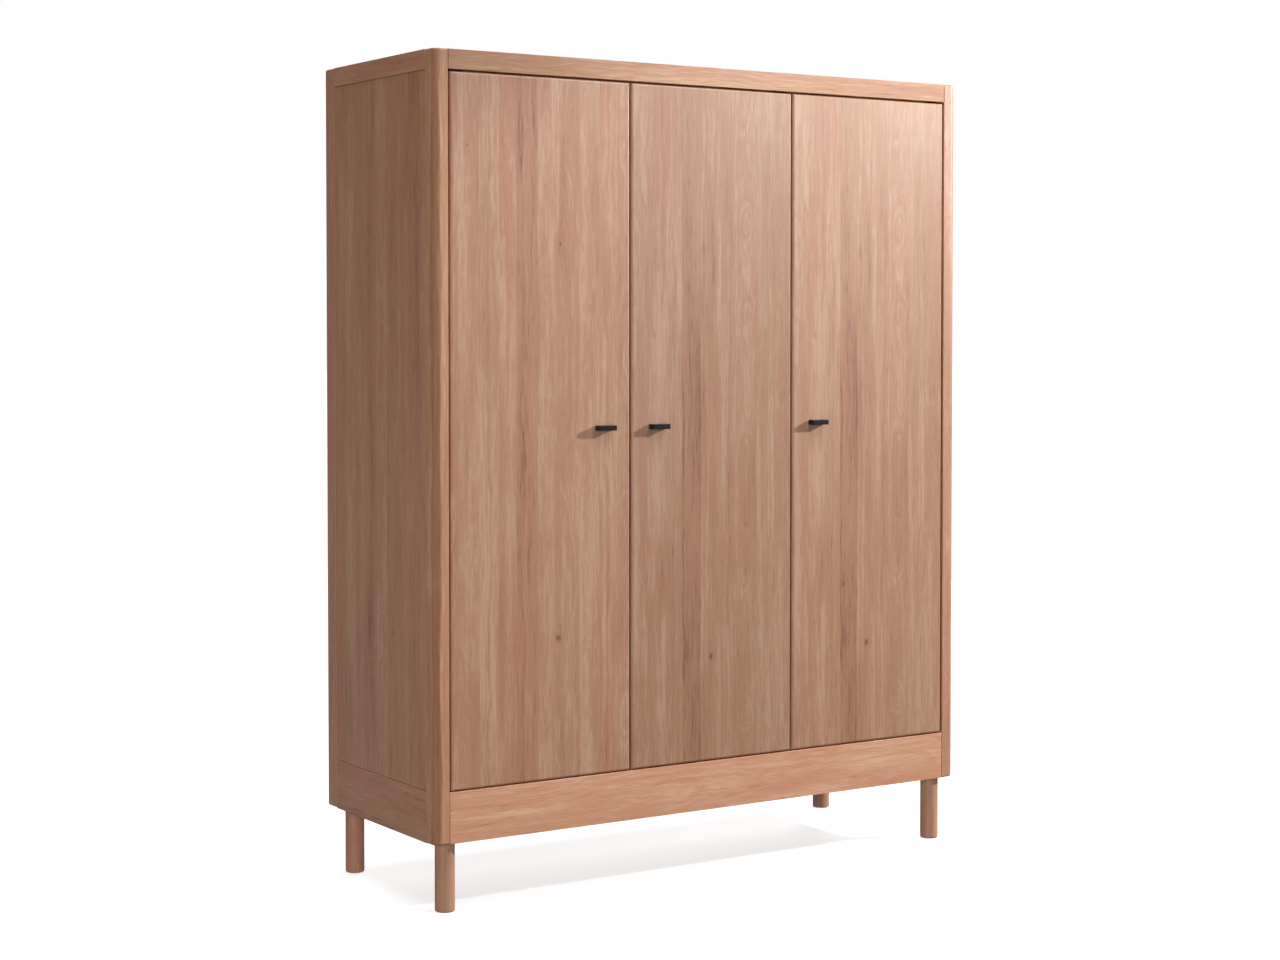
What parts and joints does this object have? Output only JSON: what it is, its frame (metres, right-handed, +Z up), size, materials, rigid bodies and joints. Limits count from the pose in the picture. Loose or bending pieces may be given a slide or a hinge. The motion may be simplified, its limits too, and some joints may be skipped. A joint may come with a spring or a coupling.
{
  "type": "wardrobe",
  "caption": "Free-standing oak wardrobe with inset swing doors on concealed hinges, tab handles, round legs, hanging bay and shelf bay.",
  "frame": {"origin": "on the floor under the centre of the overall box, handles included", "axes": "+Z up, front and doors towards -Y, +X to the right when facing the front"},
  "size_m": [1.56, 0.6, 2],
  "materials": {
    "oak": "oiled solid oak, edge-glued staves",
    "oak_inside": "oiled solid oak, edge-glued staves",
    "oak_back": "oak-veneered board, oiled",
    "beech_dowel": "plain beech",
    "black_metal": "matt black powder coat",
    "hinge_nickel": "nickel-plated steel",
    "screw_steel": "zinc-plated steel",
    "rail_chrome": "polished chrome tube",
    "bumper_rubber": "soft clear-grey rubber"
  },
  "bodies": {
    "case": {"post_front_left": "oak", "post_front_right": "oak", "post_rear_left": "oak", "post_rear_right": "oak", "rail_front_top": "oak", "rail_front_bottom": "oak", "rail_rear_top": "oak", "rail_rear_bottom": "oak", "rail_left_top": "oak", "rail_left_bottom": "oak", "rail_right_top": "oak", "rail_right_bottom": "oak", "side_panel_left": "oak", "side_panel_right": "oak", "top_panel": "oak", "leg_front_left": "oak", "leg_front_right": "oak", "leg_rear_left": "oak", "leg_rear_right": "oak", "floor_panel": "oak_inside", "partition": "oak_inside", "hat_shelf": "oak_inside", "shelf_1": "oak_inside", "shelf_2": "oak_inside", "shelf_3": "oak_inside", "shelf_4": "oak_inside", "hinge_batten_left": "oak_inside", "hinge_batten_right": "oak_inside", "door_stops": "oak_inside", "rail_block": "oak_inside", "panel_cleats": "oak_inside", "corner_blocks": "oak_inside", "back_panel_wide": "oak_back", "back_panel_narrow": "oak_back", "frame_dowels": "beech_dowel", "hinge_arms": "hinge_nickel", "hinge_plates": "hinge_nickel", "case_screws": "screw_steel", "leg_studs": "screw_steel", "shelf_pins": "hinge_nickel", "hanging_rail": "rail_chrome", "rail_sockets": "rail_chrome", "door_bumpers": "bumper_rubber"},
    "left_door": {"door_left": "oak", "handle_left": "black_metal", "handle_screws_left": "screw_steel", "hinge_cups_left": "hinge_nickel", "cup_screws_left": "screw_steel"},
    "middle_door": {"door_middle": "oak", "handle_middle": "black_metal", "handle_screws_middle": "screw_steel", "hinge_cups_middle": "hinge_nickel", "cup_screws_middle": "screw_steel"},
    "right_door": {"door_right": "oak", "handle_right": "black_metal", "handle_screws_right": "screw_steel", "hinge_cups_right": "hinge_nickel", "cup_screws_right": "screw_steel"}
  },
  "joints": [
    {"name": "left_door_swing", "type": "hinge", "parent": "case", "child": "left_door", "pos_m": [-0.716, -0.2655, 1.119], "axis": [0, 0, -1], "range_deg": [0, 95]},
    {"name": "middle_door_swing", "type": "hinge", "parent": "case", "child": "middle_door", "pos_m": [0.221, -0.2655, 1.119], "axis": [0, 0, 1], "range_deg": [0, 95]},
    {"name": "right_door_swing", "type": "hinge", "parent": "case", "child": "right_door", "pos_m": [0.716, -0.2655, 1.119], "axis": [0, 0, 1], "range_deg": [0, 95]}
  ]
}
